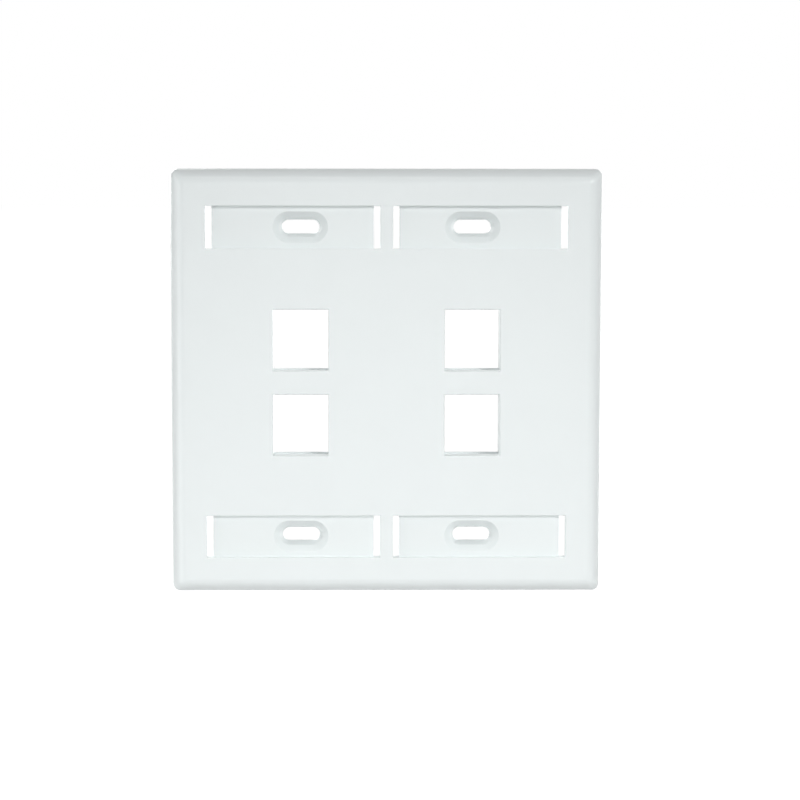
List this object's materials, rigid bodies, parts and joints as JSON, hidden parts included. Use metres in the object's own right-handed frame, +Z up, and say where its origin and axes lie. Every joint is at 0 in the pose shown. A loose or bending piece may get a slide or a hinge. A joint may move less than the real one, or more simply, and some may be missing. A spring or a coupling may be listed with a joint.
{
  "type": "keystone faceplate",
  "caption": "Square wall faceplate with snap-in jack ports, recessed label strips, slotted countersunk screw holes and a hollow ribbed back.",
  "frame": {"origin": "centre of the screw slots, in the plane of the back rim that meets the wall", "axes": "+Z up, +X to the right seen from the front, the front face looks along -Y"},
  "size_m": [0.1158, 0.01, 0.1142],
  "materials": {
    "white_plastic": "gloss"
  },
  "bodies": {
    "root": {"faceplate": "white_plastic"}
  },
  "joints": []
}
